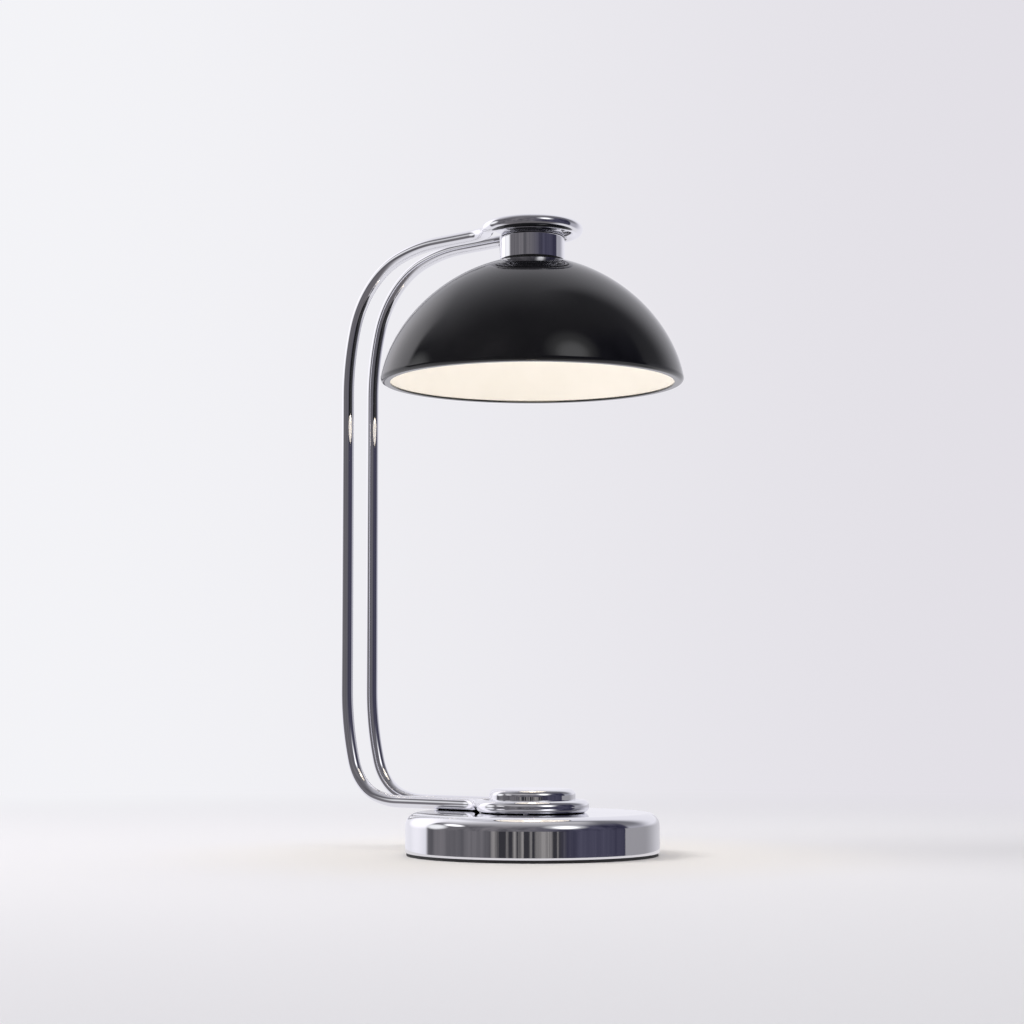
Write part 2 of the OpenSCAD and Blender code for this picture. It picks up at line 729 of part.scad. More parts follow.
module shade() {
    inner_lip = lip_round - shade_wall;
    color([0.03, 0.03, 0.035]) rotate_extrude($fn = 96) polygon(concat(
        arc(lip_centre, lip_round, -90, lip_lean),
        dome_curve(dome_r, dome_h, lip_rise + 0.2, crown_hole_r),
        reversed(dome_curve(inner_r, inner_h, lip_rise + 0.6, crown_hole_r)),
        arc(lip_centre, inner_lip, lip_lean, -90),
        [[lip_inner_r, rim_z + shade_wall], [lip_inner_r, rim_z]]));
}

// Spacer between the crowns of shade and reflector
module crown_spacer() {
    steps = 4;
    radii = [for (i = [0:steps]) crown_hole_r + (crown_spacer_r - crown_hole_r) * i / steps];
    color("silver") rotate_extrude() polygon(concat(
        [for (r = radii) [r, dome_level + dome_rise(inner_r, inner_h, r) - seat_gap]],
        reversed([for (r = radii) [r, dome_level + dome_rise(reflector_r, reflector_h, r) + seat_gap]])));
}

module reflector() {
    edge = reflector_edge_z - dome_level;
    color("white") rotate_extrude($fn = 96) polygon(concat(
        dome_curve(reflector_r, reflector_h, edge, crown_hole_r),
        reversed(dome_curve(reflector_r - reflector_t, reflector_h - reflector_t, edge, crown_hole_r))));
}

module heat_sink() {
    color("lightgray") difference() {
        union() {
            translate([0, 0, sink_bottom]) cylinder(r = sink_r, h = sink_t);
            translate([0, 0, sink_bottom]) cylinder(r = sink_hub_r, h = sink_hub_top - sink_bottom);
            for (i = [0:fin_count - 1]) rotate([0, 0, 360 / fin_count * i])
                translate([sink_hub_r - 0.5, -fin_t / 2, sink_top - 0.5])
                    cube([sink_r - sink_hub_r - 3, fin_t, fin_h + 0.5]);
        }
        translate([0, 0, sink_bottom - 1]) cylinder(d = nipple_d + 2 * fit_gap, h = sink_hub_top);
    }
}

module led_board() {
    color("white") washer(led_board_r, nipple_bore / 2, led_board_bottom, pcb_t);
}

module led_chips() {
    color("khaki") for (i = [0:chip_count - 1]) rotate([0, 0, 360 / chip_count * i])
        translate([chip_circle_r - chip_w / 2, -chip_w / 2, led_board_bottom - chip_t]) cube([chip_w, chip_w, chip_t]);
}

// Opal cap that snaps over the heat sink's edge
module diffuser() {
    outer = sink_r + fit_gap + diffuser_t;
    color("ivory") mirror([0, 0, 1]) difference() {
        turned(outer, -sink_top, diffuser_h - sink_bottom, 4);
        turned(outer - diffuser_t, -sink_top - 1, diffuser_h - diffuser_t - sink_bottom, 4 - diffuser_t);
    }
}

front_tube();
rear_tube();
base_ring();
head_ring();
joint_sleeves();
frame_studs();
base_shell();
bottom_plate();
foot_pad();
bottom_screws();
ballast();
stud_washers();
stud_nuts();
battery_trays();
battery_cells();
control_board();
charge_board();
charge_socket();
encoder_body();
encoder_washer();
encoder_nut();
switch_dome();
switch_plunger();
dimmer_shaft();
knob_hub();
knob_shell();
supply_wire();
wire_grommet();
head_plate();
cap_nut();
nipple();
head_cup();
upper_spacer();
terminal_board();
lower_spacer();
cup_gasket();
shade();
crown_spacer();
reflector();
heat_sink();
led_board();
led_chips();
diffuser();
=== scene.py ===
import json
import math

import bmesh
import bpy
import numpy as np
from mathutils import Matrix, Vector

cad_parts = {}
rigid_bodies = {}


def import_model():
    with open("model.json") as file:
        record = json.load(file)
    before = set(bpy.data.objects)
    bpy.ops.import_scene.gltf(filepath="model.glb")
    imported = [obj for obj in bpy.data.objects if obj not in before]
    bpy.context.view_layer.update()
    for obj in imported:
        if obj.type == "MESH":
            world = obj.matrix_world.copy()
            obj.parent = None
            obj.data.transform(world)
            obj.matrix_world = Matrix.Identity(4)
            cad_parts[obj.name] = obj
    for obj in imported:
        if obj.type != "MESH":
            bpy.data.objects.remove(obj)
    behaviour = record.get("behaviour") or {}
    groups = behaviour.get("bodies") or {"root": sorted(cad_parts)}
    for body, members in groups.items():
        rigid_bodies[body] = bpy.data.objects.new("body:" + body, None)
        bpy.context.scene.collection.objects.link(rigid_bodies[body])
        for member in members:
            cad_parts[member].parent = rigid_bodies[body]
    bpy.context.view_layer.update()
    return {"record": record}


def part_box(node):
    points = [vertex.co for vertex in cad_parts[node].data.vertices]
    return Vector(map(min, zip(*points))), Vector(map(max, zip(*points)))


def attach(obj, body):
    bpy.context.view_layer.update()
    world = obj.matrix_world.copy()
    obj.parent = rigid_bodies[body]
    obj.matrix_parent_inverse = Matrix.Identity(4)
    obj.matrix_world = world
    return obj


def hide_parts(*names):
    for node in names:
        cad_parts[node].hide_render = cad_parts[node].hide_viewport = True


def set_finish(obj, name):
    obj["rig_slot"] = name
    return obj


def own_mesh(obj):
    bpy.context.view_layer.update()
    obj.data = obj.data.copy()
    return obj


# Cordless table lamp: a loop of bent chrome tube carries a black dome, lit from inside, over a round
# chrome base. The lamp's sizes are in millimetres, as in the part's drawing, and its meshes are made in
# metres. Lengths in the finishes and in the studio are in metres.
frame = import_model()
MM = 0.001

# Bent frame
TUBE_R = 4.0
HALF_PITCH = 11.5
STEM_REACH = 156.0
NECK_R = 30.0
LOW_RING_R, LOW_RING_Z = 31.5, 30.5
HIGH_RING_R, HIGH_RING_Z = 28.0, 392.0
# Each bend has three arcs: ease at the stem, tight middle, run-out
LOW_BEND = (170.0, 33.5, 73.0)
HIGH_BEND = (161.0, 62.5, 126.0)
# Ease and run-out each turn by the smallest angle of a triangle with sides of 7, 24 and 25
EASE = math.degrees(math.atan2(7, 24))
EASE_SIN, EASE_COS = 0.28, 0.96

# Base with its charging inlet, knob, and the snap dome under the knob's plunger
BASE_R, BASE_TOP, BASE_ROUND = 79.0, 26.5, 8.0
BASE_WALL, BASE_LID, BASE_LOW_ROUND = 1.8, 1.5, 1.5
FOOT_H, BUSH_HOLE_R = 1.5, 4.55
PORT_Z, PORT_HALF_W, PORT_HALF_H = 10.7, 4.8, 1.9
KNOB_R, KNOB_LOW, KNOB_TOP, KNOB_ROUND, KNOB_WALL = 27.0, 27.7, 41.2, 4.0, 1.5
SNAP_LOW, SNAP_TOP, SNAP_SKIN = 18.6, 20.0, 0.3
SNAP_R, SNAP_CROWN_R = 3.3, 1.65
SNAP_INNER_R, SNAP_INNER_CROWN_R = 2.9, 1.49

# Cup, head plate, cap nut, shade, lining and diffuser
CUP_R, CUP_LOW, CUP_TOP, CUP_ROUND, CUP_WALL = 20.5, 372.4, 392.4, 6.0, 1.2
PLATE_TOP, PLATE_PLAY, BORE_R = 394.9, 0.05, 5.05
NUT_TOP, NUT_R, NUT_ROUND, NUT_DEPTH = 398.9, 8.0, 2.0, 2.5
DOME_P, DOME_Q = 1.9, 1.79
SHADE_R, SHADE_WALL, GASKET_T = 95.0, 1.2, 0.8
DOME_SKIRT, DOME_H, LIP_ROUND, LIP_W = 6.5, 85.5, 2.6, 6.0
CROWN_HOLE_R, REFLECTOR_T, REFLECTOR_H = 5.2, 0.8, 79.3
REFLECTOR_SETBACK, SEAT_GAP = 0.4, 0.1
OPAL_T, OPAL_ROUND = 1.5, 4.0

# Broken edges have rounds that are small multiples of this one
BREAK = 0.1
# Faces that meet at a larger angle, in degrees, keep a crisp edge
CRISP = 40
# Lengths and shares below this one count as nothing
TINY = 1e-6


# Meshes

def quads(rows, cols, wrap_rows, wrap_cols):
    """Corner indices of the cells of a grid of points, with the last row or column joined to the first
    if asked."""
    i = np.arange(rows if wrap_rows else rows - 1)[:, None]
    j = np.arange(cols if wrap_cols else cols - 1)[None, :]
    i2, j2 = (i + 1) % rows, (j + 1) % cols
    return np.stack([i * cols + j, i * cols + j2, i2 * cols + j2, i2 * cols + j], -1)


def piece(name, points, faces, body, slot, nodes):
    """A closed mesh in metres from points in millimetres: smooth, with its faces outwards, riding on a
    body in a node's place."""
    mesh = bpy.data.meshes.new(name)
    mesh.from_pydata((np.asarray(points) * MM).tolist(), [], faces)
    work = bmesh.new()
    work.from_mesh(mesh)
    bmesh.ops.recalc_face_normals(work, faces=work.faces)
    work.to_mesh(mesh)
    work.free()
    mesh.polygons.foreach_set("use_smooth", np.ones(len(mesh.polygons), bool))
    mesh.set_sharp_from_angle(angle=math.radians(CRISP))
    made = bpy.data.objects.new(name, mesh)
    bpy.context.scene.collection.objects.link(made)
    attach(made, body)
    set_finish(made, slot)
    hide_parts(*nodes)
    return made


def rounded(corners, closed, steps=14):
    """Profile through corners (r, z, fillet): each corner becomes an arc that touches both of its sides."""
    c = np.array(corners, float)
    runs = []
    for k, (r, z, fillet) in enumerate(c):
        if fillet == 0 or (not closed and k in (0, len(c) - 1)):
            runs.append([[r, z]])
            continue
        here, before, after = c[k, :2], c[k - 1, :2], c[(k + 1) % len(c), :2]
        u = (before - here) / np.linalg.norm(before - here)
        v = (after - here) / np.linalg.norm(after - here)
        half = math.acos(np.clip(u @ v, -1, 1)) / 2
        centre = here + (u + v) / np.linalg.norm(u + v) * fillet / math.sin(half)
        start = here + u * fillet / math.tan(half) - centre
        end = here + v * fillet / math.tan(half) - centre
        a = math.atan2(start[1], start[0])
        turn = (math.atan2(end[1], end[0]) - a + math.pi) % (2 * math.pi) - math.pi
        t = a + turn * np.linspace(0, 1, steps)
        runs.append(centre + fillet * np.c_[np.cos(t), np.sin(t)])
    return np.vstack(runs)


def eased(profile, closed, step=2.5, guard=0.25):
    """The profile with guard points just inside the ends of each long straight span, and even points
    between them."""
    ends = np.vstack([profile[1:], profile[:1]]) if closed else profile[1:]
    runs = []
    for a, b in zip(profile, ends):
        length = np.linalg.norm(b - a)
        cuts = [0.0]
        if length > 4 * guard:
            inner = np.linspace(guard, length - guard, max(2, int(length / step) + 1))
            cuts += list(inner / length)
        runs.append(a + (b - a) * np.array(cuts)[:, None])
    return np.vstack(runs if closed else runs + [profile[-1:]])


def turned(profile, steps):
    """Points of a profile (r, z) turned about Z: x = r cos t, y = r sin t."""
    t = np.linspace(0, 2 * np.pi, steps, endpoint=False)
    r, z = profile[:, :1], profile[:, 1:]
    level = np.broadcast_to(z, (len(profile), steps))
    return np.stack([r * np.cos(t), r * np.sin(t), level], -1).reshape(-1, 3)


def turned_ring(profile, steps):
    """A closed profile turned about Z, as a ring."""
    return turned(profile, steps), quads(len(profile), steps, True, True).reshape(-1, 4).tolist()


def turned_cap(profile, steps):
    """An open profile with both ends on the axis, turned about Z and closed there by fans."""
    body = profile[1:-1]
    points = turned(body, steps)
    poles = np.array([[0, 0, profile[0, 1]], [0, 0, profile[-1, 1]]])
    faces = quads(len(body), steps, False, True).reshape(-1, 4).tolist()
    first, n = len(points), np.arange(steps)
    last_row = (len(body) - 1) * steps
    faces += np.stack([np.full(steps, first), n, (n + 1) % steps], -1).tolist()
    faces += np.stack([np.full(steps, first + 1), last_row + n, last_row + (n + 1) % steps], -1).tolist()
    return np.vstack([points, poles]), faces


# Bent frame

def arc(centre, radius, start, end, u, v, count):
    """Points centre + radius (u cos a + v sin a) for a from start to end in degrees, and the unit
    tangents there."""
    a = np.radians(np.linspace(start, end, count))[:, None]
    u, v = np.array(u, float), np.array(v, float)
    way = 1.0 if end > start else -1.0
    points = np.array(centre) + radius * (np.cos(a) * u + np.sin(a) * v)
    return points, way * (np.cos(a) * v - np.sin(a) * u)


def bend(radii, z, up):
    """Three arcs in a stem's plane, from the run to the stem: run-out, tight middle and ease, each
    touching the next."""
    ease_r, mid_r, run_r = radii
    mid_x, mid_z = ease_r - EASE_COS * (ease_r - mid_r), run_r - EASE_COS * (run_r - mid_r)
    run_x, ease_z = mid_x + EASE_SIN * (run_r - mid_r), mid_z + EASE_SIN * (ease_r - mid_r)
    stem_x, ax, az = -STEM_REACH, (1, 0, 0), (0, 0, up)
    parts = [
        arc((stem_x + run_x, HALF_PITCH, z + up * run_r), run_r, 270, 270 - EASE, ax, az, count=20),
        arc((stem_x + mid_x, HALF_PITCH, z + up * mid_z), mid_r, 270 - EASE, 180 + EASE, ax, az, count=56),
        arc((stem_x + ease_r, HALF_PITCH, z + up * ease_z), ease_r, 180 + EASE, 180, ax, az, count=24)]
    return np.vstack([p for p, _ in parts]), np.vstack([t for _, t in parts])


def neck(ring_r, z):
    """The level arc that leads from a ring out to a stem's plane: it touches the ring and the run."""
    angle = math.degrees(math.asin((HALF_PITCH + NECK_R) / (ring_r + NECK_R)))
    x = -(ring_r + NECK_R) * math.cos(math.radians(angle))
    centre = (x, HALF_PITCH + NECK_R, z)
    points, tangents = arc(centre, NECK_R, -angle, -90, (1, 0, 0), (0, 1, 0), count=40)
    return points, tangents, angle


def stem_line():
    """Centre line of a tube, with two unit vectors across it that turn with it: neck, low bend, stem,
    high bend, neck."""
    up, side = np.array([0.0, 0.0, 1.0]), np.array([0.0, 1.0, 0.0])
    p1, t1, _ = neck(LOW_RING_R, LOW_RING_Z)
    p2, t2 = bend(LOW_BEND, LOW_RING_Z, 1)
    p3, t3 = bend(HIGH_BEND, HIGH_RING_Z, -1)
    p4, t4, _ = neck(HIGH_RING_R, HIGH_RING_Z)
    p3, t3, p4, t4 = p3[::-1], -t3[::-1], p4[::-1], -t4[::-1]
    points = np.vstack([p1, p2, p3, p4])
    flat_first, flat_last = np.broadcast_to(up, p1.shape), np.broadcast_to(-up, p4.shape)
    upright = np.cross(side, np.vstack([t2, t3]))
    a = np.vstack([flat_first, upright, flat_last])
    b = np.vstack([np.cross(t1, up), np.broadcast_to(side, upright.shape), np.cross(t4, -up)])
    return points, a, b


def ring_line(ring_r, z):
    """Centre line of a ring that is open towards the stems, from one neck round to the other."""
    end = 180 - neck(ring_r, z)[2]
    points, tangents = arc((0, 0, z), ring_r, -end, end, (1, 0, 0), (0, 1, 0), count=220)
    a = np.broadcast_to([0.0, 0.0, 1.0], points.shape)
    return points, a, np.cross(tangents, a)


def bar(line, around=56):
    """A round bar of the tube's radius: a circle carried along a centre line, point + radius (a cos w +
    b sin w), with flat ends."""
    points, a, b = line
    keep = np.r_[True, np.linalg.norm(np.diff(points, axis=0), axis=1) > TINY]
    points, a, b = points[keep], a[keep], b[keep]
    w = np.linspace(0, 2 * np.pi, around, endpoint=False)[None, :, None]
    skin = points[:, None] + TUBE_R * (np.cos(w) * a[:, None] + np.sin(w) * b[:, None])
    faces = quads(len(points), around, False, True).reshape(-1, 4).tolist()
    first = (len(points) - 1) * around
    return skin.reshape(-1, 3), faces + [list(range(around)), list(range(first, first + around))]


stem = stem_line()
mirrored = tuple(v * np.array([1.0, -1.0, 1.0]) for v in stem)
low_ring, high_ring = ring_line(LOW_RING_R, LOW_RING_Z), ring_line(HIGH_RING_R, HIGH_RING_Z)
piece("polished_rear_tube", *bar(stem), "base", "chrome", ["rear_tube"])
piece("polished_front_tube", *bar(mirrored), "base", "chrome", ["front_tube"])
piece("polished_base_ring", *bar(low_ring), "base", "chrome", ["base_ring"])
piece("polished_head_ring", *bar(high_ring), "base", "chrome", ["head_ring"])


# Base and knob

def stadium(side, height):
    """Where the ray towards (side, height) leaves the inlet's outline, a slot with half-round ends."""
    angle = np.arctan2(height, side)
    c, s = np.abs(np.cos(angle)), np.abs(np.sin(angle))
    flat = PORT_HALF_W - PORT_HALF_H
    on_flat = PORT_HALF_H / np.maximum(s, TINY)
    on_end = flat * c + np.sqrt(np.maximum(PORT_HALF_H ** 2 - (flat * s) ** 2, 0))
    reach = np.where(on_flat * c <= flat, on_flat, on_end)
    return np.c_[reach * np.cos(angle), reach * np.sin(angle)]


def base_profile():
    """The drum's closed section: top, wall and open underside, with the bush's hole in the middle."""
    bore_r, under = BASE_R - BASE_WALL, BASE_TOP - BASE_LID
    return eased(rounded([
        (BUSH_HOLE_R, BASE_TOP, 2 * BREAK), (BASE_R, BASE_TOP, BASE_ROUND), (BASE_R, FOOT_H, BASE_LOW_ROUND),
        (bore_r, FOOT_H, 1.5 * BREAK), (bore_r, under, BASE_ROUND - BASE_WALL),
        (BUSH_HOLE_R, under, 2 * BREAK)], closed=True, steps=22), closed=True, step=1.2)


def base_drum():
    """The drum's section turned about Z, with a slot for the inlet: a window is cut out of both walls,
    rows of points at growing shares of the way from window to slot fill it, and a band joins the slots."""
    steps, half_columns, half_rows = 360, 7, 3
    shares = (0.35, 0.65, 0.88, 1.0)
    profile = base_profile()
    points, faces = turned_ring(profile, steps)
    cells = np.array(faces).reshape(len(profile), steps, 4)
    keep = np.ones(cells.shape[:2], bool)
    columns = np.arange(steps // 2 - half_columns, steps // 2 + half_columns + 1)
    extra, loops, made = [], [], []
    count = len(points)
    for radius in (BASE_R, BASE_R - BASE_WALL):
        wall = np.where(np.abs(profile[:, 0] - radius) < TINY)[0]
        middle = np.argmin(np.abs(profile[wall, 1] - PORT_Z))
        wall = wall[middle - half_rows:middle + half_rows + 1]
        keep[wall[0]:wall[-1], columns[0]:columns[-1]] = False
        border = np.r_[wall[0] * steps + columns, wall[1:] * steps + columns[-1],
                       wall[-1] * steps + columns[-2::-1], wall[-2:0:-1] * steps + columns[0]]
        p = points[border]
        turn = np.arctan2(p[:, 1], p[:, 0]) % (2 * np.pi) - np.pi
        flat = np.c_[turn * radius, p[:, 2] - PORT_Z]
        slot = stadium(flat[:, 0], flat[:, 1])
        rows = [border]
        for share in shares:
            q = flat + (slot - flat) * share
            t = q[:, 0] / radius + np.pi
            extra.append(np.c_[radius * np.cos(t), radius * np.sin(t), q[:, 1] + PORT_Z])
            rows.append(count + np.arange(len(border)))
            count += len(border)
        grid = quads(len(rows), len(border), False, True).reshape(-1, 4)
        made += np.concatenate(rows)[grid].tolist()
        order = np.argsort(np.arctan2(slot[:, 1], slot[:, 0]))
        loops.append(rows[-1][order])
    band = quads(2, len(loops[0]), False, True).reshape(-1, 4)
    made += np.concatenate(loops)[band].tolist()
    return np.vstack([points] + extra), cells[keep].tolist() + made


def knob_profile():
    """Half of the knob's section, a cap with a rounded edge, from the axis out and back."""
    bore_r, under = KNOB_R - KNOB_WALL, KNOB_TOP - KNOB_WALL
    return eased(rounded([
        (0, KNOB_TOP, 0), (KNOB_R, KNOB_TOP, KNOB_ROUND), (KNOB_R, KNOB_LOW, 2.5 * BREAK),
        (bore_r, KNOB_LOW, 2.5 * BREAK), (bore_r, under, KNOB_ROUND - KNOB_WALL), (0, under, 0)],
        closed=False, steps=20), closed=False)


def snap_profile():
    """Half of the snap dome's section, a thin cap with a sloped skirt, from the axis out and back."""
    return rounded([
        (0, SNAP_TOP, 0), (SNAP_CROWN_R, SNAP_TOP, 4 * BREAK), (SNAP_R, SNAP_LOW + SNAP_SKIN, BREAK),
        (SNAP_R, SNAP_LOW, BREAK / 2), (SNAP_INNER_R, SNAP_LOW, BREAK / 2),
        (SNAP_INNER_CROWN_R, SNAP_TOP - SNAP_SKIN, 4 * BREAK), (0, SNAP_TOP - SNAP_SKIN, 0)],
        closed=False, steps=8)


piece("polished_base", *base_drum(), "base", "chrome", ["base_shell"])
piece("polished_knob", *turned_cap(knob_profile(), steps=256), "knob", "chrome", ["knob_shell"])
# The snap dome, 1.4 mm high, flattens by the knob's travel of 0.8 mm
snap_dome = piece("snap_dome", *turned_cap(snap_profile(), steps=72), "base", "steel", ["switch_dome"])
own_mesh(snap_dome)


# Head

def cup_profile():
    """The cup's closed section: a cap with a rounded shoulder, open below, with the nipple's bore."""
    inner_r, under = CUP_R - CUP_WALL, CUP_TOP - CUP_WALL
    return eased(rounded([
        (BORE_R, CUP_TOP, BREAK), (CUP_R, CUP_TOP, CUP_ROUND), (CUP_R, CUP_LOW, 5 * BREAK),
        (inner_r, CUP_LOW, 4 * BREAK), (inner_r, under, CUP_ROUND - CUP_WALL), (BORE_R, under, BREAK)],
        closed=True, steps=20), closed=True)


def plate_profile():
    """The head plate's section: a disc whose edge is hollowed to the round of the ring that carries it."""
    top, low, bed = PLATE_TOP - HIGH_RING_Z, CUP_TOP - HIGH_RING_Z, TUBE_R + PLATE_PLAY
    a = np.linspace(math.asin(low / bed), math.asin(top / bed), 14)
    edge = np.c_[HIGH_RING_R - bed * np.cos(a), HIGH_RING_Z + bed * np.sin(a)]
    return eased(np.vstack([[[BORE_R, PLATE_TOP], [BORE_R, CUP_TOP]], edge]), closed=True)


def nut_profile():
    """Half of the cap nut's section, with a blind bore, from the axis out and back."""
    bore_end = PLATE_TOP + NUT_DEPTH
    return eased(rounded([
        (0, NUT_TOP, 0), (NUT_R, NUT_TOP, NUT_ROUND), (NUT_R, PLATE_TOP, BREAK),
        (BORE_R, PLATE_TOP, BREAK / 2), (BORE_R, bore_end, BREAK / 2), (0, bore_end, 0)],
        closed=False, steps=16), closed=False)


piece("polished_cup", *turned_ring(cup_profile(), steps=224), "base", "chrome", ["head_cup"])
piece("polished_head_plate", *turned_ring(plate_profile(), steps=224), "base", "chrome", ["head_plate"])
piece("polished_cap_nut", *turned_cap(nut_profile(), steps=160), "base", "chrome", ["cap_nut"])


# Shade

def widest(r, rise, h):
    """Widest radius of a superellipse of height h that has the radius r at a rise above its widest level."""
    return r / (1 - (rise / h) ** DOME_Q) ** (1 / DOME_P)


lip_rise = DOME_SKIRT + LIP_ROUND
dome_r = widest(SHADE_R, lip_rise, DOME_H)
crown_rise = DOME_H * (1 - (CUP_R / dome_r) ** DOME_P) ** (1 / DOME_Q)
dome_level = round(CUP_LOW - GASKET_T - crown_rise, 2)


def dome_reach(rise):
    """Radius of the dome at a height above its widest level: a superellipse."""
    return dome_r * (1 - (rise / DOME_H) ** DOME_Q) ** (1 / DOME_P)


def dome_curve(r, h, rise, steps=110):
    """A superellipse from a height above its widest level up to the hole in the crown."""
    first = math.asin((rise / h) ** (DOME_Q / 2))
    last = math.acos((CROWN_HOLE_R / r) ** (DOME_P / 2))
    t = np.linspace(first, last, steps)
    return np.c_[r * np.cos(t) ** (2 / DOME_P), dome_level + h * np.sin(t) ** (2 / DOME_Q)]


lean = math.atan(dome_reach(lip_rise) - dome_reach(lip_rise + 1))
lip = np.array([dome_reach(lip_rise) - LIP_ROUND * math.cos(lean),
                dome_level + lip_rise - LIP_ROUND * math.sin(lean)])
rim_z = lip[1] - LIP_ROUND


def lip_arc(r, start, end):
    """Part of the rolled edge's round section."""
    a = np.linspace(start, end, 16)
    return lip + r * np.c_[np.cos(a), np.sin(a)]


def shade_profile():
    """The shade's closed section: rolled lip, dome outside, dome inside, and the lip's flat inner rim."""
    rim_r, rim_top = SHADE_R - LIP_W, rim_z + SHADE_WALL
    rim = rounded([(lip[0], rim_top, 0), (rim_r, rim_top, 4 * BREAK), (rim_r, rim_z, 4 * BREAK),
                   (lip[0], rim_z, 0)], closed=False, steps=8)
    return np.vstack([
        lip_arc(LIP_ROUND, -math.pi / 2, lean),
        dome_curve(dome_r, DOME_H, lip_rise + 2 * BREAK),
        dome_curve(dome_r - SHADE_WALL, DOME_H - SHADE_WALL, lip_rise + 6 * BREAK)[::-1],
        lip_arc(LIP_ROUND - SHADE_WALL, lean, -math.pi / 2),
        rim[1:-1]])


def lining_profile():
    """The white lining's closed section: two superellipses, standing on the lip's inner rim."""
    edge = rim_z + SHADE_WALL + SEAT_GAP - dome_level
    r = widest(SHADE_R - LIP_W + REFLECTOR_SETBACK + REFLECTOR_T, edge, REFLECTOR_H)
    inside = dome_curve(r - REFLECTOR_T, REFLECTOR_H - REFLECTOR_T, edge)
    return np.vstack([dome_curve(r, REFLECTOR_H, edge), inside[::-1]])


def opal_profile():
    """Half of the diffuser's section, a shallow dish as large as its solid, from the axis out and back."""
    low, high = (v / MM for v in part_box("diffuser"))
    r, z, top = high[0], low[2], high[2]
    return eased(rounded([
        (0, z, 0), (r, z, OPAL_ROUND), (r, top, 2 * BREAK), (r - OPAL_T, top, 2 * BREAK),
        (r - OPAL_T, z + OPAL_T, OPAL_ROUND - OPAL_T), (0, z + OPAL_T, 0)],
        closed=False, steps=16), closed=False)


piece("black_dome", *turned_ring(shade_profile(), steps=320), "base", "black_gloss", ["shade"])
piece("white_lining", *turned_ring(lining_profile(), steps=256), "base", "white_paint", ["reflector"])
piece("opal_diffuser", *turned_cap(opal_profile(), steps=160), "base", "opal", ["diffuser"])


# Finishes

class Finish:
    """A node material: Object coordinates feed noises, which vary colour, roughness and bump."""

    def __init__(self, name):
        """A new material with its shader, and the coordinates of the piece that wears it."""
        self.material = bpy.data.materials.new(name)
        self.material.use_nodes = True
        self.tree = self.material.node_tree
        self.shader = next(n for n in self.tree.nodes if n.type == "BSDF_PRINCIPLED")
        self.where = self.tree.nodes.new("ShaderNodeTexCoord").outputs["Object"]

    def set(self, **sockets):
        """Constant values on the shader's own sockets."""
        for key, value in sockets.items():
            self.shader.inputs[key.replace("_", " ")].default_value = value
        return self

    def noise(self, scale, detail=3.0, stretch=None, distortion=0.0):
        """A noise value in the piece's own coordinates, stretched along an axis where the finish has a
        direction."""
        where = self.where
        if stretch:
            mapping = self.tree.nodes.new("ShaderNodeMapping")
            mapping.inputs["Scale"].default_value = stretch
            self.tree.links.new(where, mapping.inputs["Vector"])
            where = mapping.outputs["Vector"]
        made = self.tree.nodes.new("ShaderNodeTexNoise")
        made.inputs["Scale"].default_value = scale
        made.inputs["Detail"].default_value = detail
        made.inputs["Distortion"].default_value = distortion
        self.tree.links.new(where, made.inputs["Vector"])
        return made.outputs["Fac"]

    def spread(self, value, low, high, start=0.3, end=0.7):
        """The value stretched from its middle range to low and high."""
        made = self.tree.nodes.new("ShaderNodeMapRange")
        for key, number in (("From Min", start), ("From Max", end), ("To Min", low), ("To Max", high)):
            made.inputs[key].default_value = number
        self.tree.links.new(value, made.inputs["Value"])
        return made.outputs["Result"]

    def colour(self, value, dark, light):
        """Base colour between two tones."""
        made = self.tree.nodes.new("ShaderNodeMix")
        made.data_type = "RGBA"
        made.inputs["A"].default_value = (*dark, 1)
        made.inputs["B"].default_value = (*light, 1)
        self.tree.links.new(self.spread(value, 0, 1), made.inputs["Factor"])
        self.tree.links.new(made.outputs["Result"], self.shader.inputs["Base Color"])
        return self

    def rough(self, value, low, high):
        """Roughness between two values."""
        self.tree.links.new(self.spread(value, low, high), self.shader.inputs["Roughness"])
        return self

    def bump(self, value, depth):
        """Small relief, with its depth in metres."""
        made = self.tree.nodes.new("ShaderNodeBump")
        made.inputs["Strength"].default_value = 1.0
        made.inputs["Distance"].default_value = depth
        self.tree.links.new(value, made.inputs["Height"])
        self.tree.links.new(made.outputs["Normal"], self.shader.inputs["Normal"])
        return self


def plain(name, dark, light, rough, scale, depth, metallic=0.0, stretch=None, **sockets):
    """A finish with one grain, which roughness and relief follow, and a broad cloud, which tone follows."""
    made = Finish(name)
    grain = made.noise(scale, 4.0, stretch)
    cloud = made.noise(scale * 0.12, 2.0)
    made.colour(cloud, dark, light).rough(grain, *rough).bump(grain, depth)
    return made.set(Metallic=metallic, **sockets).material


def mirror_chrome():
    """Polished plate with faint smudges."""
    made = Finish("mirror_chrome").set(Metallic=1.0)
    made.colour(made.noise(14.0, 2.0), (0.80, 0.80, 0.83), (0.86, 0.86, 0.89))
    smudge = made.noise(38.0, 5.0, None, 0.6)
    return made.rough(smudge, 0.02, 0.06).bump(made.noise(420.0, 3.0), 0.000002).material


def gloss_black_paint():
    """Sprayed gloss with a trace of orange peel."""
    made = Finish("gloss_black_paint").set(IOR=1.5)
    made.colour(made.noise(30.0, 3.0), (0.004, 0.004, 0.005), (0.008, 0.008, 0.009))
    made.rough(made.noise(55.0, 4.0, None, 0.4), 0.05, 0.10)
    return made.bump(made.noise(650.0, 2.0), 0.000006).material


def white_enamel():
    """Satin white inside the shade."""
    made = Finish("white_enamel")
    made.colour(made.noise(24.0, 3.0), (0.90, 0.89, 0.86), (0.94, 0.93, 0.91))
    made.rough(made.noise(80.0, 3.0), 0.36, 0.46)
    return made.bump(made.noise(700.0, 2.0), 0.000008).material


